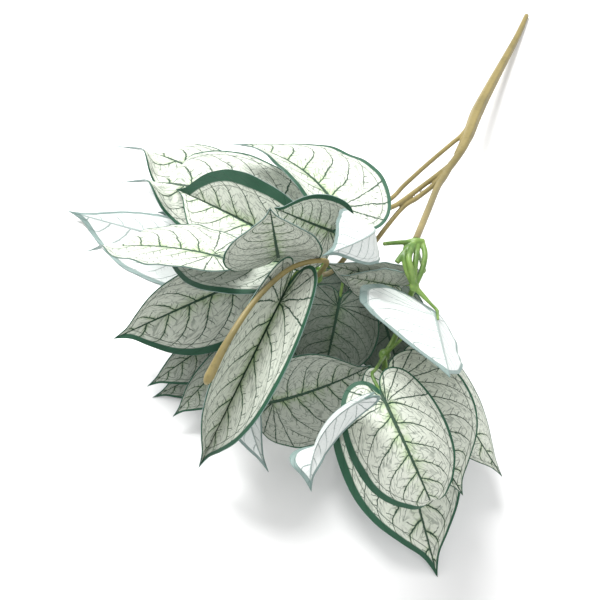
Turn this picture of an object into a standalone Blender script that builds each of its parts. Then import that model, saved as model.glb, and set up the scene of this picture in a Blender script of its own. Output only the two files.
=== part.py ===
"""An artificial Persian shield spray lying on a table: printed heart-shaped leaves on green
whorls, four tan branches and one tapering stem. Lengths are millimetres until a mesh is made.

Every place is first given as the spray is seen: X to the right, Y away, Z up from the table.
The whole spray is then turned so that the stem runs along +Y, and set on the middle of its box.
"""

import math

import bmesh
import bpy
import numpy as np

MM = 0.001
TURN = math.radians(24.0)
BOX_MIDDLE = (-19.3, 104.7)

BLADE = 0.7
GAP = 0.4
PETIOLE = 0.9
KNUCKLE = 3.2
BRANCH = 1.4

# Half of a heart-shaped blade in leaf lengths, from the notch round the lobe to the drip tip:
# first along the midrib from the petiole's end, then out from the midrib.
HALF_OUTLINE = (
    (-0.10, 0.0), (-0.165, 0.035), (-0.20, 0.10), (-0.185, 0.175), (-0.12, 0.245), (0.0, 0.30),
    (0.15, 0.335), (0.32, 0.34), (0.5, 0.31), (0.65, 0.24), (0.78, 0.135), (0.87, 0.055),
    (0.94, 0.02), (1.0, 0.0),
)
NOTCH = HALF_OUTLINE[0][0]
COLUMNS = 3
TO_VIEWER = np.array((0.0, -math.cos(math.radians(55.0)), math.sin(math.radians(55.0))))

for old in list(bpy.data.objects):
    bpy.data.objects.remove(old)


def unit(vector):
    return np.asarray(vector, float) / np.linalg.norm(vector)


def turned(vector, axis, angle):
    """Rodrigues' formula: a vector turned about a unit axis."""
    c, s = math.cos(angle), math.sin(angle)
    return vector * c + np.cross(axis, vector) * s + axis * (axis @ vector) * (1 - c)


def smooth_path(points, count):
    """A Catmull-Rom curve through the points, sampled evenly in its parameter."""
    p = np.asarray(points, float)
    p = np.vstack((2 * p[0] - p[1], p, 2 * p[-1] - p[-2]))
    path = []
    for t in np.linspace(0, len(p) - 3 - 1e-9, count):
        i, f = int(t), t - int(t)
        a, b, c, d = p[i:i + 4]
        path.append(0.5 * (2 * b + (c - a) * f + (2 * a - 5 * b + 4 * c - d) * f ** 2
                           + (3 * b - a - 3 * c + d) * f ** 3))
    return np.array(path)


def flat_blade():
    """The flat blade, a row for each outline point: places along and across, in lengths."""
    edge = np.array(HALF_OUTLINE)
    middle = NOTCH + (1 - NOTCH) * np.linspace(0, 1, len(edge)) ** 1.15
    out = np.arange(-COLUMNS, COLUMNS + 1) / COLUMNS
    along = middle[:, None] + (edge[:, :1] - middle[:, None]) * abs(out)
    return along, edge[:, 1:] * out


def near_tip(along):
    """0 over most of a leaf and 1 over its last fifth, with a smooth step between."""
    step = np.clip((along - 0.62) / 0.2, 0, 1)
    return step * step * (3 - 2 * step)


def bend_blade(leaf, along, across):
    """Lays flat blade places on the leaf's own curved midrib, with each half lifted about it."""
    base, tip = np.array(leaf["base"], float), np.array(leaf["tip"], float)
    heading = unit(tip - base)
    facing = unit(TO_VIEWER - (TO_VIEWER @ heading) * heading)
    top = turned(facing, heading, math.radians(leaf.get("roll", 0)))
    right = np.cross(heading, top)
    bow = (base + tip) / 2 + 2 * leaf.get("arch", 0) * top + 2 * leaf.get("sweep", 0) * right
    steps = np.linspace(-0.25, 1, 126)
    rib, tops, rights = [], [], []
    hook, hook_from = math.radians(leaf.get("hook", 0)), 0.75
    for u in steps:
        point = (1 - u) ** 2 * base + 2 * u * (1 - u) * bow + u * u * tip
        ahead = unit(2 * (1 - u) * (bow - base) + 2 * u * (tip - bow))
        turn = leaf.get("twist", 0) * max(u, 0) + leaf.get("quill", 0) * near_tip(u)
        up = turned(top, heading, math.radians(turn))
        up = unit(up - (up @ ahead) * ahead)
        side = np.cross(ahead, up)
        curl = hook * max(0.0, (u - hook_from) / (1 - hook_from))
        if curl:
            ahead, up = turned(ahead, side, curl), turned(up, side, curl)
            point = rib[-1] + ahead * np.linalg.norm(tip - base) * (steps[1] - steps[0])
        rib.append(point)
        tops.append(up)
        rights.append(side)
    rib, tops, rights = (
        np.stack([np.interp(along, steps, np.array(a)[:, k]) for k in range(3)], -1)
        for a in (rib, tops, rights))
    wide = leaf.get("wide", (1, 1))
    lift = np.radians(leaf.get("lift", (10, 10)))
    lift = np.where(across < 0, lift[0], lift[1]) * (1 - leaf.get("opens", 0) * near_tip(along))
    out = across * leaf["length"] * np.where(across < 0, wide[0], wide[1])
    return rib + rights * (out * np.cos(lift))[..., None] + tops * (abs(out) * np.sin(lift))[..., None]


def add_mesh(name, points, faces, material):
    """One closed body, turned with the stem along +Y and set on the middle of the box."""
    c, s = math.cos(TURN), math.sin(TURN)
    x, y, z = np.asarray(points, float).T
    places = np.stack((x * c - y * s - BOX_MIDDLE[0], x * s + y * c - BOX_MIDDLE[1], z), 1) * MM
    mesh = bpy.data.meshes.new(name)
    mesh.from_pydata(places.tolist(), [], [tuple(int(i) for i in f) for f in faces])
    work = bmesh.new()
    work.from_mesh(mesh)
    bmesh.ops.recalc_face_normals(work, faces=work.faces)
    work.to_mesh(mesh)
    work.free()
    piece = bpy.data.objects.new(name, mesh)
    bpy.context.collection.objects.link(piece)
    piece.data.materials.append(material)
    return piece


def plain_material(name, colour, roughness):
    material = bpy.data.materials.new(name)
    material.use_nodes = True
    shader = material.node_tree.nodes["Principled BSDF"]
    shader.inputs["Base Color"].default_value = (*colour, 1)
    shader.inputs["Roughness"].default_value = roughness
    return material


leaf_print = plain_material("printed leaf", (0.72, 0.78, 0.66), 0.6)
green_plastic = plain_material("green plastic", (0.16, 0.34, 0.07), 0.5)
tan_plastic = plain_material("tan plastic", (0.38, 0.28, 0.11), 0.5)


def add_leaf(name, leaf):
    """A thin closed blade: the same triangles on both faces, joined round the margin."""
    along, across = flat_blade()
    sheet = bend_blade(leaf, along, across)
    last, wide = sheet.shape[0] - 1, sheet.shape[1]
    points, number = [sheet[0, COLUMNS]], np.zeros((last + 1, wide), int)
    for i in range(1, last):
        number[i] = len(points) + np.arange(wide)
        points.extend(sheet[i])
    number[last] = len(points)
    points = np.array(points + [sheet[last, COLUMNS]])
    faces = []
    for i in range(last):
        for j in range(wide - 1):
            a, b, c, d = number[i, j], number[i, j + 1], number[i + 1, j + 1], number[i + 1, j]
            halves = ((a, b, c), (a, c, d)) if j < COLUMNS else ((a, b, d), (b, c, d))
            faces.extend(f for f in halves if len(set(f)) == 3)
    normals = np.zeros_like(points)
    for f in faces:
        p, q, r = points[list(f)]
        normals[list(f)] += np.cross(q - p, r - p)
    normals /= np.linalg.norm(normals, axis=1, keepdims=True)
    upper, lower = points + normals * BLADE / 2, points - normals * BLADE / 2
    # A leaf that rests on the table lies flat there and keeps its thickness.
    sunk = -np.minimum(0, np.minimum(upper[:, 2], lower[:, 2]))
    upper[:, 2] += sunk
    lower[:, 2] += sunk
    n = len(points)
    rim = {(f[k], f[(k + 1) % 3]) for f in faces for k in range(3)}
    rim = [e for e in rim if (e[1], e[0]) not in rim]
    solid = faces + [(a + n, c + n, b + n) for a, b, c in faces]
    for a, b in sorted(rim):
        solid.extend(((b, a, a + n), (b, a + n, b + n)))
    return add_mesh(name, np.vstack((upper, lower)), solid, leaf_print)


def tube(points, radii, sides=6, samples=3):
    """A round rod through the points, its radius running evenly through the radii given."""
    path = smooth_path(points, samples * (len(points) - 1) + 1)
    radii = np.interp(np.linspace(0, 1, len(path)), np.linspace(0, 1, len(radii)), radii)
    ring = np.arange(sides) * 2 * math.pi / sides
    rows = []
    for place, ahead, radius in zip(path, np.gradient(path, axis=0), radii):
        ahead = unit(ahead)
        x = unit(np.cross((0, 0, 1) if abs(ahead[2]) < 0.95 else (1, 0, 0), ahead))
        y = np.cross(ahead, x)
        rows.append(place + radius * (np.outer(np.cos(ring), x) + np.outer(np.sin(ring), y)))
    faces = [tuple(range(sides))[::-1], tuple(len(rows) * sides - sides + k for k in range(sides))]
    for i in range(len(rows) - 1):
        for k in range(sides):
            a, b = i * sides + k, i * sides + (k + 1) % sides
            faces.append((a, b, b + sides, a + sides))
    points = np.vstack(rows)
    points[:, 2] = np.maximum(points[:, 2], 0)
    return points, faces


def ball(centre, radius):
    shape = bmesh.new()
    bmesh.ops.create_icosphere(shape, subdivisions=2, radius=radius)
    points = np.array([v.co[:] for v in shape.verts]) + np.array(centre, float)
    faces = [tuple(v.index for v in f.verts) for f in shape.faces]
    shape.free()
    return points, faces


def join(name, shapes, material):
    """Makes overlapping rods and balls one closed body."""
    first, *others = [add_mesh(f"{name}_{i}", *shape, material) for i, shape in enumerate(shapes)]
    first.name = first.data.name = name
    for other in others:
        step = first.modifiers.new("join", "BOOLEAN")
        step.operation, step.solver, step.object = "UNION", "EXACT", other
        bpy.context.view_layer.update()
        whole = bpy.data.meshes.new_from_object(
            first.evaluated_get(bpy.context.evaluated_depsgraph_get()))
        first.modifiers.clear()
        first.data = whole
        bpy.data.objects.remove(other)
    work = bmesh.new()
    work.from_mesh(first.data)
    bmesh.ops.triangulate(work, faces=work.faces)
    bmesh.ops.remove_doubles(work, verts=work.verts, dist=0.05 * MM)
    bmesh.ops.dissolve_degenerate(work, edges=work.edges, dist=0.02 * MM)
    bmesh.ops.triangulate(work, faces=work.faces)
    work.to_mesh(first.data)
    work.free()
    first.data.name = name
    return first


# Each leaf: where its petiole ends and where its tip is, its nominal length, how far it rolls
# from facing the viewer, and how it bows, twists and folds. Near the tip, quill is a last twist
# that sets the drip tip on edge, and opens is the share by which the fold flattens out there.
LEAVES = {
    "leaf_back_upper": dict(base=(20, 32, 79.5), tip=(-40, 96, 63), length=90, roll=24, arch=3,
                            sweep=8, lift=(25, -8), twist=26, wide=(0.5, 1.16)),
    "leaf_back_front": dict(base=(-8, 20, 65), tip=(-73, 74, 48), length=85, roll=10, arch=4,
                            lift=(10, 42), wide=(0.9, 0.95)),
    "leaf_back_far": dict(base=(-40, 65, 36), tip=(-119, 131, 25), length=98, roll=40, sweep=16,
                          lift=(-18, -5), wide=(0.85, 0.95), quill=45, opens=1),
    "leaf_back_middle": dict(base=(-17, 48, 51), tip=(-107, 84, 43), length=96, roll=18, sweep=8,
                             lift=(-10, -14), wide=(0.88, 1.05), quill=68, opens=1),
    "leaf_crown": dict(base=(-11, -8, 91), tip=(-14, -13, 133), length=60, arch=2, lift=(10, 15),
                       wide=(1.35, 1.12)),
    "leaf_crown_side": dict(base=(15, 10, 89), tip=(-13, 13, 103), length=66, roll=-10, arch=2,
                            lift=(0, 34), wide=(1.15, 0.95)),
    "leaf_fold_high": dict(base=(37, 0.0, 102), tip=(10, -34, 124), length=70, roll=165, arch=-9,
                           lift=(38, 5), wide=(0.8, 0.6)),
    "leaf_left_collar": dict(base=(-10, 4, 69.5), tip=(-76, 18, 51), length=75, roll=10, arch=6,
                             lift=(35, 20), wide=(1, 0.4)),
    "leaf_left_high": dict(base=(-45, -1, 82), tip=(-116, 19, 60), length=80, roll=62, arch=4,
                           lift=(5, 5), wide=(0.9, 0.9), quill=30, opens=1),
    "leaf_left_far": dict(base=(-57, 53, 19), tip=(-147, 94, 4), length=98, roll=180, arch=4,
                          lift=(28, -5), wide=(0.45, 0.9)),
    "leaf_left_tucked": dict(base=(-44, 77, 14), tip=(-90, 93, 4), length=66, roll=180,
                             lift=(0, 0), wide=(0.5, 0.5)),
    "leaf_left_low": dict(base=(-25, 15, 43), tip=(-105, -12, 19), length=96, arch=4,
                          lift=(20, 26), wide=(1, 0.6)),
    "leaf_front_tall": dict(base=(-10, -29, 80), tip=(-53, -89, 14), length=104, arch=8,
                            lift=(55, 50), wide=(0.85, 0.6)),
    "leaf_front_turned": dict(base=(-25, -50, 66), tip=(-16, -96, 25), length=84, roll=170, arch=2,
                              sweep=-5, lift=(45, 30), wide=(0.65, 0.3)),
    "leaf_front_middle": dict(base=(-14, -61, 35), tip=(37, -48, 50), length=66, roll=15, arch=5,
                              lift=(8, 16), wide=(1, 1.2)),
    "leaf_front_curled": dict(base=(25, -101, 106), tip=(5, -134, 86), length=62, roll=186,
                              arch=-3, sweep=-7, lift=(85, 40), wide=(1.25, 0.4), opens=0.85),
    "leaf_heart_near": dict(base=(21, -5, 41), tip=(12, -35, 8), length=66, arch=4, lift=(10, 15),
                            wide=(1.1, 1.1)),
    "leaf_heart_right": dict(base=(43, 4, 34), tip=(58, -38, 8), length=70, arch=4, lift=(10, 15)),
    "leaf_heart_left": dict(base=(7, 16, 32), tip=(-2, -32, 8), length=70, arch=4, lift=(10, 15)),
    "leaf_right_top": dict(base=(40, -88, 82), tip=(65, -130, 46), length=84, arch=10,
                           lift=(10, 10), hook=-90, wide=(0.75, 0.9)),
    "leaf_right_second": dict(base=(47, -65, 59), tip=(80, -113, 34), length=76, arch=8,
                              lift=(-2, 15), wide=(1.15, 0.7)),
    "leaf_right_long": dict(base=(47, -54, 25), tip=(69, -142, 0), length=104, arch=8,
                            lift=(10, 15), wide=(0.8, 1)),
    "leaf_right_outer": dict(base=(67, -52, 57), tip=(104, -95, 17), length=84, roll=5, arch=4,
                             lift=(-62, 10), wide=(0.9, 0.6)),
    "leaf_fold_right": dict(base=(69, -32, 70), tip=(64, -97, 120), length=95, roll=164,
                            lift=(0, 22), wide=(1.35, 0.5)),
    "leaf_fold_small": dict(base=(50, -3, 58), tip=(21, -7, 72), length=52, roll=-55,
                            wide=(0.75, 1)),
    "leaf_fold_under": dict(base=(53, 6, 54), tip=(12, 1, 73), length=56, roll=-50, arch=2,
                            lift=(10, 15), wide=(0.7, 0.8)),
    "leaf_corner_top": dict(base=(-37, -4, 21), tip=(-85, -37, 9), length=70, arch=2,
                            lift=(10, 15), wide=(0.8, 0.4)),
    "leaf_corner_rest": dict(base=(-31, -13, 9), tip=(-83, -39, 0), length=70, arch=2,
                             lift=(10, 15), wide=(0.7, 0.4)),
    "leaf_corner_front": dict(base=(-36, -23, 24.5), tip=(-69, -57, 11), length=62, arch=2,
                              lift=(10, 15), wide=(0.8, 0.4)),
    "leaf_rest_left": dict(base=(-29, 22, 9), tip=(-72, 24, 0), length=70, roll=35, arch=1,
                           lift=(-8, -8)),
    "leaf_rest_right": dict(base=(45, -49, 11), tip=(62, -90, 0), length=64, arch=2, lift=(0, 0)),
    "leaf_rest_middle": dict(base=(17, 18, 14), tip=(0, -8, 0), length=64, roll=10, arch=2,
                             lift=(-8, -8)),
}
for leaf_name, leaf_row in LEAVES.items():
    add_leaf(leaf_name, leaf_row)


def petiole(leaf_name, end, reach=0.24, thick=PETIOLE):
    """A leaf's stalk: from behind the blade, back past the lobes, then to its whorl."""
    leaf = LEAVES[leaf_name]
    spots = bend_blade(leaf, np.array((0, 0.1, 0.05, 0.05)), np.array((0, 0, -0.05, 0.05)))
    ahead = unit(spots[1] - spots[0])
    top = unit(np.cross(unit(spots[3] - spots[2]), ahead))
    start = spots[0] - top * (BLADE / 2 + GAP + PETIOLE) + ahead
    stalk = [start]
    for share in (0.4 * reach, reach):
        # The blade's own bow behind its base is 4 * arch * share ** 2, and the stalk clears it.
        drop = 4 * max(0, leaf.get("arch", 0)) * share ** 2 + 4 * share
        stalk.append(start - ahead * share * leaf["length"] - top * drop)
    stalk.append(stalk[-1] + 0.3 * (end - stalk[-1]))
    return tube((*stalk, end), (PETIOLE, thick), sides=5, samples=2)


# The whorls: a green knuckle each, with the stalks of the leaves it holds. The right one is seen
# best: its strands hang from a short collar as a bundle, meet at a fork, and one runs on.
RIGHT, FORK, LOW = (60, 9, 80), (59, -14, 72), (44, -41, 49)
MIDDLE, LEFT, BACK, INNER = (9, -3, 65), (-28, -5, 34), (18, 46, 43), (28, 22, 32)
join("whorl_right", [
    tube(((54, 9, 79), RIGHT, (65, 10, 79)), (1.4, 2.4, 1.6)),
    tube((RIGHT, (54, 2, 80), (50, -3, 78)), (1.6, 1.5)),
    tube(((56, 9, 79), (54, 0, 80), (55, -7, 77), FORK), (1.4, 1.6)),
    tube((RIGHT, (56, -3, 83), (57, -10, 80), FORK), (1.6, 1.6)),
    tube(((62, 10, 79), (60, -1, 80), (59, -8, 77), FORK), (1.6, 1.6)),
    tube(((64, 10, 79), (65, 2, 78), (63, -6, 75), FORK), (1.5, 1.6)),
    ball(FORK, 2.6), ball(LOW, KNUCKLE),
    tube((FORK, (58, -11, 58), (55, -19, 54), (49, -33, 51), LOW), (1.6, 1.6)),
    tube((RIGHT, (51, 7, 82), (43, 3, 86)), (1.4, 1.1)),
    petiole("leaf_fold_under", RIGHT, 0.34), petiole("leaf_fold_right", FORK, 0.08, 1.7),
    petiole("leaf_fold_small", FORK),
    petiole("leaf_right_top", LOW, 0.2), petiole("leaf_right_second", LOW, 0.1),
    petiole("leaf_right_outer", LOW), petiole("leaf_right_long", LOW, 0.14),
], green_plastic)
join("whorl_middle", [
    ball(MIDDLE, KNUCKLE), petiole("leaf_front_tall", MIDDLE, 0.16),
    petiole("leaf_left_collar", MIDDLE, 0.3), petiole("leaf_crown_side", MIDDLE, 0.1),
    petiole("leaf_back_front", MIDDLE),
], green_plastic)
join("whorl_left", [
    ball(LEFT, KNUCKLE), petiole("leaf_left_low", LEFT, 0.1), petiole("leaf_corner_top", LEFT),
    petiole("leaf_corner_rest", LEFT, 0.32), petiole("leaf_corner_front", LEFT),
    petiole("leaf_front_middle", LEFT),
], green_plastic)
join("whorl_back", [
    ball(BACK, KNUCKLE), petiole("leaf_back_upper", BACK), petiole("leaf_back_middle", BACK),
    petiole("leaf_back_far", BACK, 0.34), petiole("leaf_left_tucked", BACK),
    petiole("leaf_rest_left", BACK),
], green_plastic)
join("whorl_inner", [
    ball(INNER, KNUCKLE), petiole("leaf_heart_near", INNER), petiole("leaf_heart_right", INNER),
    petiole("leaf_heart_left", INNER), petiole("leaf_rest_middle", INNER),
], green_plastic)


def short_of(path, knuckle, radius=KNUCKLE):
    """Ends a branch just clear of the knuckle that it holds."""
    toward = unit(np.subtract(knuckle, path[-1]))
    return (*path, tuple(np.array(knuckle, float) - toward * (radius + GAP)))


join("stem", [
    tube(((169, 286, 1.6), (157, 257, 4), (133, 203, 13), (117, 165, 21), (107, 136, 28),
          (98, 115, 33)), (1.7, 2.3, 3.3, 4.0, 3.5, 2.4), sides=10),
    tube(short_of(((114, 159, 22), (104, 138, 28), (94, 125, 31), (77, 104, 35),
                   (63, 86, 38), (51, 70, 41)), BACK), (1.5, BRANCH)),
    tube(((110, 145, 26), (104, 126, 31), (95, 108, 35), (88, 96, 38)), (2.6, 2.3)),
    tube(short_of(((91, 103, 36), (82, 92, 39), (69, 77, 43), (57, 64, 46),
                   (45, 53, 48), (21, 18, 47), (12, 6, 55)), MIDDLE), (1.6, BRANCH)),
    tube(short_of(((90, 99, 37), (80, 84, 40), (69, 72, 42), (57, 60, 43)), INNER),
         (1.6, BRANCH)),
    tube(short_of(((93, 105, 36), (87, 91, 40), (81, 77, 46), (72, 48, 60)), RIGHT, 3.0),
         (2.2, 1.9)),
], tan_plastic)
join("spur", [
    tube(short_of(((-45, -74, 76), (-43, -72, 80), (-34, -58, 90), (-21, -37, 94), (-4, -19, 95),
                   (13, -11, 90)), MIDDLE), (1.1, 2.5, 1.7, 1.4, 1.3, 1.3, 1.3)),
], tan_plastic)
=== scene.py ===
# %% [markdown]
# # An artificial Persian shield spray
# The real thing is a florist's spray: printed fabric leaves, cut with a die and pressed into
# shallow heart-shaped boats, on green plastic whorls that are pushed on a branched tan stem.
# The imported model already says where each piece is. This lesson gives every piece its fine
# form and its finish, and sets it on a pale table under soft studio light.

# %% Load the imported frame
import math

import bmesh
import bpy
import numpy as np
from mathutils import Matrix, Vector


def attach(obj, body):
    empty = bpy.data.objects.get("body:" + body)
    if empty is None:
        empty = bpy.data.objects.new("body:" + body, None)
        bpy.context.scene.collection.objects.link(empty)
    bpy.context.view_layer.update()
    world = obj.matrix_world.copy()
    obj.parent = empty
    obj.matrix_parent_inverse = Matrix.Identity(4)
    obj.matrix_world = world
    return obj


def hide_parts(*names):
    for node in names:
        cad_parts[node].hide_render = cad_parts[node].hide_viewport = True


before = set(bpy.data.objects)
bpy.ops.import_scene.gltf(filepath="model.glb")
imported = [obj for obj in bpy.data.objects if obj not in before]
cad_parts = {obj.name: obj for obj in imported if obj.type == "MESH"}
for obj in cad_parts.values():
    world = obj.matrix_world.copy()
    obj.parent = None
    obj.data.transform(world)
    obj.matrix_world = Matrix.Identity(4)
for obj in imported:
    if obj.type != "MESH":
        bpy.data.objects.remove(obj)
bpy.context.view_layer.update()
print("nodes in the frame:", len(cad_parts))

# %% [markdown]
# The spray was laid out as the viewer sees it, in millimetres, with X to the right, Y away and
# Z up. The frame has it turned, so that the stem runs along +Y, and set on the middle of its
# box. One small function carries any place from the layout into the frame.

# %% From the layout to the frame
MM = 0.001
TURN = math.radians(24.0)
BOX_MIDDLE = (-19.3, 104.7)


def placed(points):
    c, s = math.cos(TURN), math.sin(TURN)
    x, y, z = np.moveaxis(np.asarray(points, float), -1, 0)
    return np.stack((x * c - y * s - BOX_MIDDLE[0], x * s + y * c - BOX_MIDDLE[1], z), -1) * MM


# %% [markdown]
# The camera comes first. The photographer stood in front of the tips and looked down by 55
# degrees with a longish lens, so the stem runs away from us and the leaves come towards us.

# %% Camera
LOOK_DOWN = math.radians(55.0)
TO_VIEWER = np.array((0.0, -math.cos(LOOK_DOWN), math.sin(LOOK_DOWN)))
AIM = np.array((0.0, 0.0, 40.0))
DISTANCE = 550.0

camera = bpy.data.objects.new("camera", bpy.data.cameras.new("camera"))
bpy.context.scene.collection.objects.link(camera)
camera.data.sensor_width = 36.0
camera.data.lens = 60.0
camera.data.clip_start = 0.01
camera.location = Vector(placed(AIM + DISTANCE * TO_VIEWER))
view_line = Vector(placed(AIM)) - camera.location
camera.rotation_euler = view_line.to_track_quat("-Z", "Y").to_euler()
bpy.context.scene.camera = camera
print("camera stands at", tuple(round(x, 3) for x in camera.location))

# %% [markdown]
# Shader maths reads best as ordinary arithmetic. A Signal is one socket of a material, and
# adding, multiplying or comparing Signals adds the Math nodes behind the scenes. A Finish is
# one material, with a single method that makes any other node.


# %% Shader maths as Python
class Signal:
    def __init__(self, finish, socket):
        self.finish, self.socket = finish, socket

    def math(self, operation, *values):
        return self.finish.node("ShaderNodeMath", {"operation": operation},
                                dict(enumerate(values)))

    def __add__(self, other):
        return self.math("ADD", self, other)

    def __sub__(self, other):
        return self.math("SUBTRACT", self, other)

    def __rsub__(self, other):
        return self.math("SUBTRACT", other, self)

    def __mul__(self, other):
        return self.math("MULTIPLY", self, other)

    def __truediv__(self, other):
        return self.math("DIVIDE", self, other)

    def __rtruediv__(self, other):
        return self.math("DIVIDE", other, self)

    def __pow__(self, other):
        return self.math("POWER", self, other)

    def __abs__(self):
        return self.math("ABSOLUTE", self)

    def __neg__(self):
        return self * -1.0

    __radd__ = __add__
    __rmul__ = __mul__

    def least(self, other):
        return self.math("MINIMUM", self, other)

    def most(self, other):
        return self.math("MAXIMUM", self, other)

    def fraction(self):
        return self.math("FRACT", self)

    def floor(self):
        return self.math("FLOOR", self)

    def rise(self, low, high):
        """0 below low, 1 above high, and a smooth step between; falls where low is above high."""
        return self.finish.node("ShaderNodeMapRange", {"interpolation_type": "SMOOTHSTEP"},
                                {0: self, 1: low, 2: high, 3: 0.0, 4: 1.0})


class Finish:
    def __init__(self, name):
        self.material = bpy.data.materials.new(name)
        self.material.use_nodes = True
        self.tree = self.material.node_tree
        self.shader = self.tree.nodes["Principled BSDF"]

    def feed(self, socket, value):
        if isinstance(value, Signal):
            self.tree.links.new(value.socket, socket)
        elif socket.type == "RGBA" and len(value) == 3:
            socket.default_value = (*value, 1.0)
        else:
            socket.default_value = value

    def node(self, kind, settings=None, values=None, out=0):
        made = self.tree.nodes.new(kind)
        for key, value in (settings or {}).items():
            setattr(made, key, value)
        for key, value in (values or {}).items():
            self.feed(made.inputs[key], value)
        return Signal(self, made.outputs[out])

    def mix(self, share, first, second):
        return self.node("ShaderNodeMix", {"data_type": "RGBA"}, {0: share, 6: first, 7: second}, 2)

    def attribute(self, name):
        return self.node("ShaderNodeAttribute", {"attribute_name": name}, out=1)

    def parts(self, vector):
        split = self.node("ShaderNodeSeparateXYZ", values={0: vector}).socket.node
        return [Signal(self, split.outputs[k]) for k in range(3)]

    def vector(self, x, y, z=0.0):
        return self.node("ShaderNodeCombineXYZ", values={0: x, 1: y, 2: z})

    def noise(self, place, scale, detail=2.0, out=0):
        return self.node("ShaderNodeTexNoise", values={
            "Vector": place, "Scale": scale, "Detail": detail}, out=out)

    def cell_walls(self, place, scale=1.0):
        return self.node("ShaderNodeTexVoronoi", {"feature": "DISTANCE_TO_EDGE"},
                         {"Vector": place, "Scale": scale})

    def relief(self, height, depth):
        """A normal from a height that runs from 0 to 1 over a real depth in metres."""
        return self.node("ShaderNodeBump", values={"Distance": depth, "Height": height})

    def set(self, **sockets):
        for name, value in sockets.items():
            self.feed(self.shader.inputs[name.replace("_", " ").title()], value)


print("shader helpers ready")

# %% [markdown]
# ## The table and the light
# The spray lies on a clean white sweep that is nearly burnt out, with soft shadows running
# towards the viewer. A broad lamp behind and above makes those, a weak one in front lifts the
# near leaves, and an even white sky fills the rest. The sweep has a faint sheen, so the leaf
# tips show weak reflections.

# %% Table
FLOOR_SIZE = 6.0
floor_mesh = bpy.data.meshes.new("floor")
half = FLOOR_SIZE / 2
floor_mesh.from_pydata([(-half, -half, 0), (half, -half, 0), (half, half, 0), (-half, half, 0)],
                       [], [(0, 1, 2, 3)])
floor = bpy.data.objects.new("floor", floor_mesh)
bpy.context.scene.collection.objects.link(floor)
floor.location.z = -0.0002
floor_finish = Finish("white sweep")
floor_finish.set(base_color=(0.9, 0.9, 0.9), roughness=0.38)
floor_mesh.materials.append(floor_finish.material)

# %% Light
bpy.context.scene.view_settings.view_transform = "Standard"
world = bpy.data.worlds.new("studio")
bpy.context.scene.world = world
world.use_nodes = True
world.node_tree.nodes["Background"].inputs["Color"].default_value = (1, 1, 1, 1)
world.node_tree.nodes["Background"].inputs["Strength"].default_value = 0.72


def add_lamp(name, place, aim, size, power):
    data = bpy.data.lights.new(name, "AREA")
    data.shape, data.size, data.energy = "DISK", size, power
    lamp = bpy.data.objects.new(name, data)
    bpy.context.scene.collection.objects.link(lamp)
    lamp.location = Vector(placed(place))
    lamp.rotation_euler = (Vector(placed(aim)) - lamp.location).to_track_quat("-Z", "Y").to_euler()
    return lamp


add_lamp("key_light", (-250, 550, 900), (0, 0, 40), 0.55, 16.0)
add_lamp("front_light", (300, -700, 800), (0, 0, 40), 0.9, 3.0)
print("floor and lights made")

# %% [markdown]
# ## The shape of a leaf
# Every blade is cut with the same die: a heart with a long drip tip. Half of its outline is a
# smooth curve through a few points, in leaf lengths from the end of the petiole. Rows run from
# the midrib out to the margin, so that the mesh follows the leaf and never cuts its edge.

# %% The flat blade
HALF_OUTLINE = (
    (-0.10, 0.0), (-0.165, 0.035), (-0.20, 0.10), (-0.185, 0.175), (-0.12, 0.245), (0.0, 0.30),
    (0.15, 0.335), (0.32, 0.34), (0.5, 0.31), (0.65, 0.24), (0.78, 0.135), (0.87, 0.055),
    (0.94, 0.02), (1.0, 0.0),
)
NOTCH = HALF_OUTLINE[0][0]
ROWS = 96
COLUMNS = 14


def smooth_path(points, count):
    """A Catmull-Rom curve through the points, sampled evenly in its parameter."""
    p = np.asarray(points, float)
    p = np.vstack((2 * p[0] - p[1], p, 2 * p[-1] - p[-2]))
    t = np.linspace(0, len(p) - 3 - 1e-9, count)
    i = t.astype(int)
    f = (t - i)[:, None]
    a, b, c, d = p[i], p[i + 1], p[i + 2], p[i + 3]
    return 0.5 * (2 * b + (c - a) * f + (2 * a - 5 * b + 4 * c - d) * f ** 2
                  + (3 * b - a - 3 * c + d) * f ** 3)


outline = smooth_path(HALF_OUTLINE, 400)
run = np.insert(np.cumsum(np.linalg.norm(np.diff(outline, axis=0), axis=1)), 0, 0)
share = np.linspace(0, 1, ROWS + 1)
edge = np.stack([np.interp(share * run[-1], run, outline[:, k]) for k in (0, 1)], 1)
edge[(0, -1), 1] = 0.0
middle = NOTCH + (1 - NOTCH) * share ** 1.15
out = np.arange(-COLUMNS, COLUMNS + 1) / COLUMNS
flat_along = middle[:, None] + (edge[:, :1] - middle[:, None]) * abs(out)
flat_across = edge[:, 1:] * out
to_edge = np.hypot(flat_along[..., None] - outline[:, 0],
                   abs(flat_across)[..., None] - outline[:, 1]).min(-1)
print("blade grid", flat_along.shape, "widest", round(2 * edge[:, 1].max(), 2), "of its length")

# %% [markdown]
# Pressing gives each blade a bowed midrib and two halves that lift from it. The same few
# numbers as in the solids say so for each leaf: how it rolls from the viewer, bows, sweeps,
# twists, folds and hooks over. Near the tip, `quill` turns the leaf further and `opens` lets
# its two halves fall flat. On top of that the fine mesh gets what a solid can't carry: a soft
# wave along the margin and a shallow trough down the midrib.


# %% Bend a blade
def unit(vector):
    return np.asarray(vector, float) / np.linalg.norm(vector)


def turned(vector, axis, angle):
    c, s = math.cos(angle), math.sin(angle)
    return vector * c + np.cross(axis, vector) * s + axis * (axis @ vector) * (1 - c)


def near_tip(along):
    """0 over most of a leaf and 1 over its last fifth, with a smooth step between."""
    step = np.clip((along - 0.62) / 0.2, 0, 1)
    return step * step * (3 - 2 * step)


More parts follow.
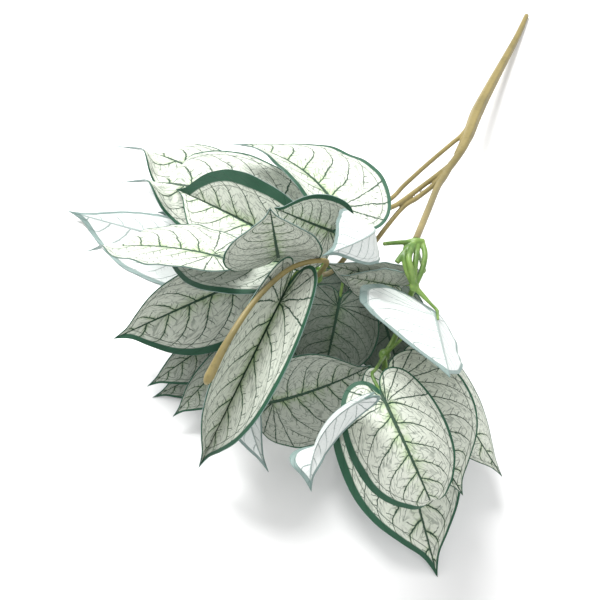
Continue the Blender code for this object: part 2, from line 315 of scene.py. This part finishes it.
def bend_blade(leaf, along, across, wave=0.0):
    base, tip = np.array(leaf["base"], float), np.array(leaf["tip"], float)
    heading = unit(tip - base)
    facing = unit(TO_VIEWER - (TO_VIEWER @ heading) * heading)
    top = turned(facing, heading, math.radians(leaf.get("roll", 0)))
    right = np.cross(heading, top)
    bow = (base + tip) / 2 + 2 * leaf.get("arch", 0) * top + 2 * leaf.get("sweep", 0) * right
    steps = np.linspace(-0.25, 1, 126)
    rib, tops, rights = [], [], []
    hook, hook_from = math.radians(leaf.get("hook", 0)), 0.75
    for u in steps:
        point = (1 - u) ** 2 * base + 2 * u * (1 - u) * bow + u * u * tip
        ahead = unit(2 * (1 - u) * (bow - base) + 2 * u * (tip - bow))
        turn = leaf.get("twist", 0) * max(u, 0) + leaf.get("quill", 0) * near_tip(u)
        up = turned(top, heading, math.radians(turn))
        up = unit(up - (up @ ahead) * ahead)
        side = np.cross(ahead, up)
        curl = hook * max(0.0, (u - hook_from) / (1 - hook_from))
        if curl:
            ahead, up = turned(ahead, side, curl), turned(up, side, curl)
            point = rib[-1] + ahead * np.linalg.norm(tip - base) * (steps[1] - steps[0])
        rib.append(point)
        tops.append(up)
        rights.append(side)
    rib, tops, rights = (
        np.stack([np.interp(along, steps, np.array(a)[:, k]) for k in range(3)], -1)
        for a in (rib, tops, rights))
    wide = leaf.get("wide", (1, 1))
    lift = np.radians(leaf.get("lift", (10, 10)))
    lift = np.where(across < 0, lift[0], lift[1]) * (1 - leaf.get("opens", 0) * near_tip(along))
    out = across * leaf["length"] * np.where(across < 0, wide[0], wide[1])
    height = abs(out) * np.sin(lift) + wave
    return rib + rights * (out * np.cos(lift))[..., None] + tops * height[..., None]


# %% [markdown]
# The leaves, one row each, named as in the imported model. `band` is how far the dark green
# border of the print reaches in from the left and the right margin, in leaf lengths: the die
# rarely lands in the middle of the print, so one side often shows much more of it. The last
# number on some rows is painted shade: it darkens the cloth from cream towards dark green on
# the leaves low in the bunch, beyond what the lamps' own shade makes of them.

# %% The leaves
LEAVES = {
    "leaf_back_upper": dict(base=(20, 32, 79.5), tip=(-40, 96, 63), length=90, roll=24, arch=3,
                            sweep=8, lift=(25, -8), twist=26, wide=(0.5, 1.16), band=(0.07, 0.03)),
    "leaf_back_front": dict(base=(-8, 20, 65), tip=(-73, 74, 48), length=85, roll=10, arch=4,
                            lift=(10, 42), wide=(0.9, 0.95), band=(0.015, 0.1)),
    "leaf_back_far": dict(base=(-40, 65, 36), tip=(-119, 131, 25), length=98, roll=40, sweep=16,
                          lift=(-18, -5), wide=(0.85, 0.95), band=(0.02, 0.014), quill=45,
                          opens=1),
    "leaf_back_middle": dict(base=(-17, 48, 51), tip=(-107, 84, 43), length=96, roll=18, sweep=8,
                             lift=(-10, -14), wide=(0.88, 1.05), band=(0.03, 0.014), quill=68,
                             opens=1),
    "leaf_crown": dict(base=(-11, -8, 91), tip=(-14, -13, 133), length=60, arch=2, lift=(10, 15),
                       wide=(1.35, 1.12), painted_shade=0.1),
    "leaf_crown_side": dict(base=(15, 10, 89), tip=(-13, 13, 103), length=66, roll=-10, arch=2,
                            lift=(0, 34), wide=(1.15, 0.95), band=(0.015, 0.06)),
    "leaf_fold_high": dict(base=(37, 0.0, 102), tip=(10, -34, 124), length=70, roll=165, arch=-9,
                           lift=(38, 5), wide=(0.8, 0.6), band=(0.05, 0.05)),
    "leaf_left_collar": dict(base=(-10, 4, 69.5), tip=(-76, 18, 51), length=75, roll=10, arch=6,
                             lift=(35, 20), wide=(1, 0.4), band=(0.055, 0.015), painted_shade=0.35),
    "leaf_left_high": dict(base=(-45, -1, 82), tip=(-116, 19, 60), length=80, roll=62, arch=4,
                           lift=(5, 5), wide=(0.9, 0.9), quill=30, opens=1),
    "leaf_left_far": dict(base=(-57, 53, 19), tip=(-147, 94, 4), length=98, roll=180, arch=4,
                          lift=(28, -5), wide=(0.45, 0.9)),
    "leaf_left_tucked": dict(base=(-44, 77, 14), tip=(-90, 93, 4), length=66, roll=180,
                             lift=(0, 0), wide=(0.5, 0.5)),
    "leaf_left_low": dict(base=(-25, 15, 43), tip=(-105, -12, 19), length=96, arch=4,
                          lift=(20, 26), wide=(1, 0.6), band=(0.05, 0.015), painted_shade=0.15),
    "leaf_front_tall": dict(base=(-10, -29, 80), tip=(-53, -89, 14), length=104, arch=8,
                            lift=(55, 50), wide=(0.85, 0.6), band=(0.035, 0.015), painted_shade=0.15),
    "leaf_front_turned": dict(base=(-25, -50, 66), tip=(-16, -96, 25), length=84, roll=170, arch=2,
                              sweep=-5, lift=(45, 30), wide=(0.65, 0.3)),
    "leaf_front_middle": dict(base=(-14, -61, 35), tip=(37, -48, 50), length=66, roll=15, arch=5,
                              lift=(8, 16), wide=(1, 1.2), painted_shade=0.35),
    "leaf_front_curled": dict(base=(25, -101, 106), tip=(5, -134, 86), length=62, roll=186,
                              arch=-3, sweep=-7, lift=(85, 40), wide=(1.25, 0.4), opens=0.85),
    "leaf_heart_near": dict(base=(21, -5, 41), tip=(12, -35, 8), length=66, arch=4, lift=(10, 15),
                            wide=(1.1, 1.1), painted_shade=0.72),
    "leaf_heart_right": dict(base=(43, 4, 34), tip=(58, -38, 8), length=70, arch=4, lift=(10, 15),
                             painted_shade=0.85),
    "leaf_heart_left": dict(base=(7, 16, 32), tip=(-2, -32, 8), length=70, arch=4, lift=(10, 15),
                            painted_shade=0.85),
    "leaf_right_top": dict(base=(40, -88, 82), tip=(65, -130, 46), length=84, arch=10,
                           lift=(10, 10), hook=-90, wide=(0.75, 0.9), band=(0.02, 0.05)),
    "leaf_right_second": dict(base=(47, -65, 59), tip=(80, -113, 34), length=76, arch=8,
                              lift=(-2, 15), wide=(1.15, 0.7)),
    "leaf_right_long": dict(base=(47, -54, 25), tip=(69, -142, 0), length=104, arch=8,
                            lift=(10, 15), wide=(0.8, 1), band=(0.02, 0.045)),
    "leaf_right_outer": dict(base=(67, -52, 57), tip=(104, -95, 17), length=84, roll=5, arch=4,
                             lift=(-62, 10), wide=(0.9, 0.6)),
    "leaf_fold_right": dict(base=(69, -32, 70), tip=(64, -97, 120), length=95, roll=164,
                            lift=(0, 22), wide=(1.35, 0.5)),
    "leaf_fold_small": dict(base=(50, -3, 58), tip=(21, -7, 72), length=52, roll=-55,
                            wide=(0.75, 1), painted_shade=0.15),
    "leaf_fold_under": dict(base=(53, 6, 54), tip=(12, 1, 73), length=56, roll=-50, arch=2,
                            lift=(10, 15), wide=(0.7, 0.8), painted_shade=0.15),
    "leaf_corner_top": dict(base=(-37, -4, 21), tip=(-85, -37, 9), length=70, arch=2,
                            lift=(10, 15), wide=(0.8, 0.4), band=(0.035, 0.03), painted_shade=0.4),
    "leaf_corner_rest": dict(base=(-31, -13, 9), tip=(-83, -39, 0), length=70, arch=2,
                             lift=(10, 15), wide=(0.7, 0.4), band=(0.035, 0.03), painted_shade=0.5),
    "leaf_corner_front": dict(base=(-36, -23, 24.5), tip=(-69, -57, 11), length=62, arch=2,
                              lift=(10, 15), wide=(0.8, 0.4), band=(0.035, 0.03), painted_shade=0.4),
    "leaf_rest_left": dict(base=(-29, 22, 9), tip=(-72, 24, 0), length=70, roll=35, arch=1,
                           lift=(-8, -8), painted_shade=0.7),
    "leaf_rest_right": dict(base=(45, -49, 11), tip=(62, -90, 0), length=64, arch=2, lift=(0, 0),
                            painted_shade=0.7),
    "leaf_rest_middle": dict(base=(17, 18, 14), tip=(0, -8, 0), length=64, roll=10, arch=2,
                             lift=(-8, -8), painted_shade=0.7),
}
print(len(LEAVES), "leaves")

# %% [markdown]
# ## The printed net of veins
# The print is what makes this plant: a dark green midrib, side veins that leave it at a steep
# angle and bend forward along the margin, a fan of veins into the two lobes, and cream cloth
# between them. Short ticks of uneven length stand out from both flanks of each side vein, and
# a jagged net joins them. It could be painted as an image; here it is worked out from each
# point's own place on the leaf, so it stays sharp and follows every fold. The mesh carries
# that place: how far along and across, how far from the margin, and how wide the border is.

# %% Vein print
SIDE_VEINS = 0.15
TICK = 0.05
CREAM = (0.68, 0.71, 0.62)
WASH = (0.44, 0.50, 0.42)
NET_GREEN = (0.030, 0.060, 0.040)
RIB_GREEN = (0.012, 0.052, 0.026)
GLOW_GREEN = (0.36, 0.52, 0.22)
BORDER_GREEN = (0.018, 0.085, 0.045)
# The last colour here is painted shade: the dark green that leaves low in the bunch are darkened
# towards.
PAINTED_SHADE_GREEN = (0.055, 0.090, 0.065)


def vein_print(finish):
    """The print's masks from 0 to 1, with the leaf's painted shade and the place that each point
    has.
    """
    along, across, rim = finish.parts(finish.attribute("blade"))
    border, sharing, seed = finish.parts(finish.attribute("print"))
    # painted shade: how far this leaf's cloth is darkened for lying low in the bunch
    depth = finish.parts(finish.attribute("tone"))[0]
    place = finish.vector(along, across, seed)
    sway = finish.parts(finish.noise(place, 6.0, 3.0, out=1))
    jag = finish.parts(finish.noise(place, 60.0, 2.0, out=1))
    a = along + (sway[0] - 0.5) * 0.06 + (jag[0] - 0.5) * 0.014
    b = across + (sway[1] - 0.5) * 0.03 * abs(across).rise(0.0, 0.06) + (jag[1] - 0.5) * 0.008
    c = abs(b)
    side = across.rise(-0.001, 0.001)
    coarse = finish.noise(place, 24.0, 1.0)

    rib_width = 0.017 - along * 0.012
    rib = 1 - c.rise(rib_width * 0.55, rib_width)
    sweep = 0.28 * abs(sharing) ** 4.0
    phase = (a - 0.55 * c - sweep + side * 0.06) / SIDE_VEINS
    gap = (phase + 0.5).fraction() - 0.5
    from_vein = abs(gap) * SIDE_VEINS
    vein_width = 0.0085 - 0.013 * c
    veins = 1 - from_vein.rise(vein_width * 0.4, vein_width)
    ahead_of_base = (a - 0.55 * c).rise(-0.03, 0.0)
    angle = finish.node("ShaderNodeMath", {"operation": "ARCTAN2"}, {0: c, 1: a})
    reach = (a * a + c * c) ** 0.5
    spoke = abs((angle * 2.1 + 0.2).fraction() - 0.5) / 2.1 * reach
    fan = 1 - (reach * 0.238 - spoke).rise(0.002, 0.006)
    main = rib.most(veins * ahead_of_base).most(fan * (1 - ahead_of_base))
    inner_line = 1 - abs(rim - border - 0.022).rise(0.0010, 0.0028)

    which = (phase + 0.5).floor()
    flank = gap.rise(-0.001, 0.001)
    step = (c + sweep - 0.85 * from_vein + which * 0.017 + flank * 0.021) / TICK
    chance = finish.node("ShaderNodeTexWhiteNoise", {"noise_dimensions": "3D"}, {
        "Vector": finish.vector(which + seed * 90.0, step.floor() + flank * 31.0, side)})
    tick_reach = (0.3 + 0.9 * chance) * SIDE_VEINS / 2
    ticks = 1 - (abs(step.fraction() - 0.5) * TICK).rise(0.0012, 0.0036)
    ticks = ticks * chance.rise(0.12, 0.2) * (1 - from_vein.rise(tick_reach * 0.8, tick_reach))
    net_place = finish.vector(phase * 3.0, step * 1.1, seed * 7.0)
    walls = finish.cell_walls(net_place)
    net = (1 - walls.rise(0.03, 0.09)) * coarse.rise(0.3, 0.6)
    fine = 1 - finish.cell_walls(net_place, 2.6).rise(0.02, 0.12)
    margin = 1 - rim.rise(border * 0.9 - 0.002, border + 0.002)
    glow = (1 - c.rise(0.0, 0.09)) * (1 - along.rise(0.2, 0.9)) * coarse.rise(0.25, 0.6)
    halo = (1 - from_vein.rise(0.0, 0.03)) * ahead_of_base * (1 - c.rise(0.03, 0.2))
    return {"main": main.most(inner_line * 0.7), "ticks": ticks, "net": net, "fine": fine,
            "border": margin, "glow": glow, "halo": halo, "coarse": coarse, "place": place,
            "rim": rim, "depth": depth}


def cloth_weave(finish, place):
    """A fine woven grain, about three threads to the millimetre."""
    x, y, _ = finish.parts(place)
    warp = abs((x * 260.0).fraction() - 0.5)
    weft = abs((y * 260.0).fraction() - 0.5)
    return warp * weft * 4.0


# %% Printed face
leaf_face = Finish("printed leaf face")
ink = vein_print(leaf_face)
paper = leaf_face.mix(ink["fine"] * 0.25 + ink["coarse"] * 0.2, CREAM, WASH)
paper = leaf_face.mix((ink["glow"] * 0.7 + ink["halo"] * 0.4).least(0.8), paper, GLOW_GREEN)
# painted shade: leaves low in the bunch are darkened towards dark green
paper = leaf_face.mix(ink["depth"], paper, PAINTED_SHADE_GREEN)
paper = leaf_face.mix(ink["net"] * 0.45, paper, NET_GREEN)
paper = leaf_face.mix(ink["ticks"] * 0.85, paper, NET_GREEN)
paper = leaf_face.mix(ink["main"] * 0.96, paper, RIB_GREEN)
paper = leaf_face.mix(ink["border"], paper, BORDER_GREEN)
pressed = (1 - ink["main"] * 0.7) * 0.8 + cloth_weave(leaf_face, ink["place"]) * 0.1
leaf_face.set(base_color=paper, roughness=0.46 + ink["coarse"] * 0.12,
              normal=leaf_face.relief(pressed, 0.0005))
leaf_face.shader.inputs["Specular IOR Level"].default_value = 0.35

# %% [markdown]
# The back of the cloth isn't printed. The ink shows through it, weak and grey, and the border
# shows as a blue-grey hem, because that is where the ink is heaviest.

# %% Unprinted back
BACK_WHITE = (0.74, 0.78, 0.76)
BACK_INK = (0.22, 0.30, 0.28)
HEM_GREY = (0.13, 0.22, 0.20)
leaf_back = Finish("unprinted leaf back")
ghost = vein_print(leaf_back)
bare = leaf_back.mix(ghost["ticks"] * 0.3 + ghost["net"] * 0.1, BACK_WHITE, BACK_INK)
bare = leaf_back.mix(ghost["main"] * 0.75, bare, BACK_INK)
hem = 1 - ghost["rim"].rise(0.028, 0.036)
bare = leaf_back.mix(hem * 0.85, bare, HEM_GREY)
raised = ghost["main"] * 0.7 + cloth_weave(leaf_back, ghost["place"]) * 0.1
leaf_back.set(base_color=bare, roughness=0.5, normal=leaf_back.relief(raised, 0.0005))
leaf_back.shader.inputs["Specular IOR Level"].default_value = 0.35
print("leaf finishes made")

# %% [markdown]
# ## Making the leaves
# Two skins, a little under half a millimetre apart, are joined round the margin, so a leaf has
# a real edge from every side. Where a leaf meets the table, both skins are pushed up together.

# %% Leaf mesh
CLOTH = 0.45


def leaf_grid():
    """Vertex numbers of the grid, with one vertex at the notch and one at the tip."""
    wide = 2 * COLUMNS + 1
    number = 1 + np.arange((ROWS + 1) * wide).reshape(ROWS + 1, wide) - wide
    number[0], number[ROWS] = 0, 1 + (ROWS - 1) * wide
    faces = []
    for i in range(ROWS):
        for j in range(wide - 1):
            loop = (number[i, j], number[i, j + 1], number[i + 1, j + 1], number[i + 1, j])
            corners = list(dict.fromkeys(int(k) for k in loop))
            faces.append(tuple(corners))
    return number, faces


grid_numbers, grid_faces = leaf_grid()
grid_order = np.zeros(grid_numbers.max() + 1, int)
grid_order[grid_numbers.ravel()] = np.arange(grid_numbers.size)
rng = np.random.default_rng(7)


def make_leaf(name, leaf):
    length = leaf["length"]
    phase = rng.uniform(0, 2 * math.pi, 2)
    swing = np.where(flat_across < 0, phase[0], phase[1])
    ripple = np.sin(flat_along * 15 + swing) + 0.5 * np.sin(flat_along * 31 + 2 * swing)
    wave = 0.010 * length * ripple * (abs(flat_across) / 0.34) ** 2 * (1 - abs(flat_along - 0.4))
    trough = 0.012 * length * (np.exp(-(flat_across / 0.03) ** 2) - 0.3) * -0.6
    sheet = bend_blade(leaf, flat_along, flat_across, wave + trough)
    points = sheet.reshape(-1, 3)[grid_order]
    normals = np.zeros_like(points)
    for f in grid_faces:
        p = points[list(f)]
        normals[list(f)] += np.cross(p[1] - p[0], p[2] - p[0])
    normals /= np.maximum(np.linalg.norm(normals, axis=1, keepdims=True), 1e-9)
    upper, lower = points + normals * CLOTH / 2, points - normals * CLOTH / 2
    sunk = -np.minimum(0, np.minimum(upper[:, 2], lower[:, 2]))
    upper[:, 2] += sunk
    lower[:, 2] += sunk
    n = len(points)
    rim = {(f[k], f[(k + 1) % len(f)]) for f in grid_faces for k in range(len(f))}
    rim = sorted(e for e in rim if (e[1], e[0]) not in rim)
    faces = grid_faces + [tuple(k + n for k in f[::-1]) for f in grid_faces]
    faces += [(b, a, a + n, b + n) for a, b in rim]
    mesh = bpy.data.meshes.new(name)
    mesh.from_pydata(placed(np.vstack((upper, lower))).tolist(), [], faces)
    mesh.materials.append(leaf_face.material)
    mesh.materials.append(leaf_back.material)
    slots = np.ones(len(faces), np.int32)
    slots[:len(grid_faces)] = 0
    mesh.polygons.foreach_set("material_index", slots)
    left, right = leaf.get("band", (0.014, 0.014))
    blade = np.stack((flat_along, flat_across, to_edge), -1).reshape(-1, 3)[grid_order]
    border = np.where(flat_across < 0, left, right) * (1 - abs(flat_along - 0.35) * 0.8)
    shares = np.broadcast_to(out, flat_along.shape)
    seed = np.full(flat_along.shape, rng.uniform(0, 0.05))
    ink_place = np.stack((border, shares, seed), -1).reshape(-1, 3)[grid_order]
    # the leaf's painted shade, passed to the print as the tone attribute
    depth = np.zeros_like(blade)
    depth[:, 0] = leaf.get("painted_shade", 0)
    for label, values in (("blade", blade), ("print", ink_place), ("tone", depth)):
        attribute = mesh.attributes.new(label, "FLOAT_VECTOR", "POINT")
        attribute.data.foreach_set("vector", np.vstack((values, values)).astype(np.float32).ravel())
    mesh.shade_smooth()
    mesh.set_sharp_from_angle(angle=math.radians(50))
    piece = bpy.data.objects.new(name + "_cloth", mesh)
    bpy.context.scene.collection.objects.link(piece)
    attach(piece, "root")
    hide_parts(name)
    return piece


# %% Cut and press every leaf
for leaf_name, leaf_row in LEAVES.items():
    make_leaf(leaf_name, leaf_row)
print("leaf faces each:", 2 * len(grid_faces))

# %% [markdown]
# ## Green whorls
# A whorl is one soft green moulding: a knuckle that grips the branch's end, and a thin petiole
# to each leaf. The rods and balls are placed as in the solids, then melted together: a voxel
# remesh joins them and a light smoothing leaves fillets where they meet, as moulds do.

# %% Rods and balls
PETIOLE = 0.9
KNUCKLE = 3.2
BRANCH = 1.4
GAP = 0.55


def tube(points, radii, sides=14, samples=10, ribs=0, rib_depth=0.0):
    path = smooth_path(points, samples * (len(points) - 1) + 1)
    radii = np.interp(np.linspace(0, 1, len(path)), np.linspace(0, 1, len(radii)), radii)
    ring = np.arange(sides) * 2 * math.pi / sides
    swell = 1 + rib_depth * np.cos(ribs * ring)
    rows = []
    for place, ahead, radius in zip(path, np.gradient(path, axis=0), radii):
        ahead = unit(ahead)
        x = unit(np.cross((0, 0, 1) if abs(ahead[2]) < 0.95 else (1, 0, 0), ahead))
        y = np.cross(ahead, x)
        ring_xy = np.outer(np.cos(ring) * swell, x) + np.outer(np.sin(ring) * swell, y)
        rows.append(place + radius * ring_xy)
    faces = [tuple(range(sides))[::-1], tuple(len(rows) * sides - sides + k for k in range(sides))]
    for i in range(len(rows) - 1):
        for k in range(sides):
            a, b = i * sides + k, i * sides + (k + 1) % sides
            faces.append((a, b, b + sides, a + sides))
    points = np.vstack(rows)
    points[:, 2] = np.maximum(points[:, 2], 0)
    return points, faces


def ball(centre, radius):
    shape = bmesh.new()
    bmesh.ops.create_icosphere(shape, subdivisions=3, radius=radius)
    points = np.array([v.co[:] for v in shape.verts]) + np.array(centre, float)
    faces = [tuple(v.index for v in f.verts) for f in shape.faces]
    shape.free()
    return points, faces


def petiole(leaf_name, end, reach=0.24, thick=PETIOLE * 1.15):
    leaf = LEAVES[leaf_name]
    spots = bend_blade(leaf, np.array((0, 0.1, 0.05, 0.05)), np.array((0, 0, -0.05, 0.05)))
    ahead = unit(spots[1] - spots[0])
    top = unit(np.cross(unit(spots[3] - spots[2]), ahead))
    start = spots[0] - top * (CLOTH / 2 + PETIOLE) + ahead * 0.06 * leaf["length"]
    stalk = [start]
    for share in (0.4 * reach, reach):
        drop = 4 * max(0, leaf.get("arch", 0)) * share ** 2 + 4 * share
        stalk.append(spots[0] - top * (GAP + PETIOLE + drop) - ahead * share * leaf["length"])
    stalk.append(stalk[-1] + 0.3 * (end - stalk[-1]))
    return tube((*stalk, end), (PETIOLE * 0.7, PETIOLE, PETIOLE, PETIOLE, thick))


def shape_object(name, shapes, finish):
    points, faces, count = [], [], 0
    for some_points, some_faces in shapes:
        points.append(some_points)
        faces += [tuple(k + count for k in f) for f in some_faces]
        count += len(some_points)
    mesh = bpy.data.meshes.new(name)
    mesh.from_pydata(placed(np.vstack(points)).tolist(), [], faces)
    mesh.materials.append(finish.material)
    piece = bpy.data.objects.new(name, mesh)
    bpy.context.scene.collection.objects.link(piece)
    return piece


def melt(piece, voxel, passes):
    remesh = piece.modifiers.new("melt", "REMESH")
    remesh.mode, remesh.voxel_size = "VOXEL", voxel
    smooth = piece.modifiers.new("fillet", "SMOOTH")
    smooth.factor, smooth.iterations = 0.5, passes
    bpy.context.view_layer.update()
    shaped = piece.evaluated_get(bpy.context.evaluated_depsgraph_get())
    whole = bpy.data.meshes.new_from_object(shaped)
    piece.modifiers.clear()
    piece.data = whole
    whole.shade_smooth()
    return piece


def finish_piece(piece, node):
    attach(piece, "root")
    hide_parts(node)
    print(piece.name, len(piece.data.polygons), "faces")


# %% Green plastic
green = Finish("soft green plastic")
where = green.node("ShaderNodeTexCoord", out=3)
mottle = green.noise(where, 90.0, 3.0)
streak = green.noise(where, 420.0, 2.0)
tone = green.mix(mottle.rise(0.35, 0.65), (0.080, 0.165, 0.030), (0.17, 0.29, 0.06))
tone = green.mix(streak.rise(0.45, 0.8) * 0.35, tone, (0.34, 0.40, 0.14))
green.set(base_color=tone, roughness=0.36 + mottle * 0.2, normal=green.relief(streak, 0.0002))

# %% Whorls
RIGHT, FORK, LOW = (60, 9, 80), (59, -14, 72), (44, -41, 49)
MIDDLE, LEFT, BACK, INNER = (9, -3, 65), (-28, -5, 34), (18, 46, 43), (28, 22, 32)
WHORLS = {
    "whorl_right": [
        tube(((54, 9, 79), RIGHT, (65, 10, 79)), (1.4, 2.4, 1.6)),
        tube((RIGHT, (54, 2, 80), (50, -3, 78)), (1.6, 1.5)),
        tube(((56, 9, 79), (54, 0, 80), (55, -7, 77), FORK), (1.4, 1.6)),
        tube((RIGHT, (56, -3, 83), (57, -10, 80), FORK), (1.6, 1.6)),
        tube(((62, 10, 79), (60, -1, 80), (59, -8, 77), FORK), (1.6, 1.6)),
        tube(((64, 10, 79), (65, 2, 78), (63, -6, 75), FORK), (1.5, 1.6)),
        ball(FORK, 2.6), ball(LOW, KNUCKLE),
        tube((FORK, (58, -11, 58), (55, -19, 54), (49, -33, 51), LOW), (1.6, 1.6)),
        tube((RIGHT, (51, 7, 82), (43, 3, 86)), (1.4, 1.1)),
        petiole("leaf_fold_under", RIGHT, 0.34), petiole("leaf_fold_right", FORK, 0.08, 1.7),
        petiole("leaf_fold_small", FORK),
        petiole("leaf_right_top", LOW, 0.2), petiole("leaf_right_second", LOW, 0.1),
        petiole("leaf_right_outer", LOW), petiole("leaf_right_long", LOW, 0.14),
    ],
    "whorl_middle": [
        ball(MIDDLE, KNUCKLE), petiole("leaf_front_tall", MIDDLE, 0.16),
        petiole("leaf_left_collar", MIDDLE, 0.3), petiole("leaf_crown_side", MIDDLE, 0.1),
        petiole("leaf_back_front", MIDDLE),
    ],
    "whorl_left": [
        ball(LEFT, KNUCKLE), petiole("leaf_left_low", LEFT, 0.1),
        petiole("leaf_corner_top", LEFT), petiole("leaf_corner_rest", LEFT, 0.32),
        petiole("leaf_corner_front", LEFT), petiole("leaf_front_middle", LEFT)],
    "whorl_back": [
        ball(BACK, KNUCKLE), petiole("leaf_back_upper", BACK),
        petiole("leaf_back_middle", BACK), petiole("leaf_back_far", BACK, 0.34),
        petiole("leaf_left_tucked", BACK), petiole("leaf_rest_left", BACK)],
    "whorl_inner": [
        ball(INNER, KNUCKLE), petiole("leaf_heart_near", INNER),
        petiole("leaf_heart_right", INNER), petiole("leaf_heart_left", INNER),
        petiole("leaf_rest_middle", INNER)],
}
VOXEL = 0.00035
for whorl_name, shapes in WHORLS.items():
    whorl = melt(shape_object(whorl_name + "_moulding", shapes, green), VOXEL, 6)
    finish_piece(whorl, whorl_name)

# %% [markdown]
# ## The tan stem
# The stem is a tan moulding that tapers to a thin tip and splits into branches. Faint ribs run
# along it and it thickens at each split.

# %% Tan plastic
tan = Finish("tan plastic")
spot = tan.node("ShaderNodeTexCoord", out=3)
blotch = tan.noise(spot, 40.0, 4.0)
speck = tan.noise(spot, 500.0, 2.0)
tone = tan.mix(blotch.rise(0.35, 0.65), (0.19, 0.155, 0.055), (0.27, 0.215, 0.080))
tone = tan.mix(speck.rise(0.5, 0.8) * 0.4, tone, (0.12, 0.10, 0.04))
tan.set(base_color=tone, roughness=0.42 + blotch * 0.15, normal=tan.relief(speck, 0.0002))


# %% Stem
def short_of(path, knuckle, radius=KNUCKLE):
    toward = unit(np.subtract(knuckle, path[-1]))
    return (*path, tuple(np.array(knuckle, float) - toward * (radius + 0.2)))


stem = shape_object("stem_moulding", [
    tube(((169, 286, 1.6), (157, 257, 4), (133, 203, 13), (117, 165, 21), (107, 136, 28),
          (98, 115, 33)), (1.7, 2.3, 3.3, 4.0, 3.5, 2.4), 36, 20,
         ribs=6, rib_depth=0.06),
    tube(short_of(((114, 159, 22), (104, 138, 28), (94, 125, 31), (77, 104, 35),
                   (63, 86, 38), (51, 70, 41)), BACK), (1.5, BRANCH)),
    tube(((110, 145, 26), (104, 126, 31), (95, 108, 35), (88, 96, 38)), (2.6, 2.3)),
    tube(short_of(((91, 103, 36), (82, 92, 39), (69, 77, 43), (57, 64, 46),
                   (45, 53, 48), (21, 18, 47), (12, 6, 55)), MIDDLE), (1.6, BRANCH)),
    tube(short_of(((90, 99, 37), (80, 84, 40), (69, 72, 42), (57, 60, 43)), INNER),
         (1.6, BRANCH)),
    tube(short_of(((93, 105, 36), (87, 91, 40), (81, 77, 46), (72, 48, 60)), RIGHT, 3.0),
         (2.2, 1.9)),
], tan)
melt(stem, 0.0004, 5)
finish_piece(stem, "stem")
spur = shape_object("spur_moulding", [
    tube(short_of(((-45, -74, 76), (-43, -72, 80), (-34, -58, 90), (-21, -37, 94),
                   (-4, -19, 95), (13, -11, 90)), MIDDLE), (1.1, 2.5, 1.7, 1.4, 1.3, 1.3, 1.3)),
], tan)
melt(spur, 0.0003, 4)
finish_piece(spur, "spur")
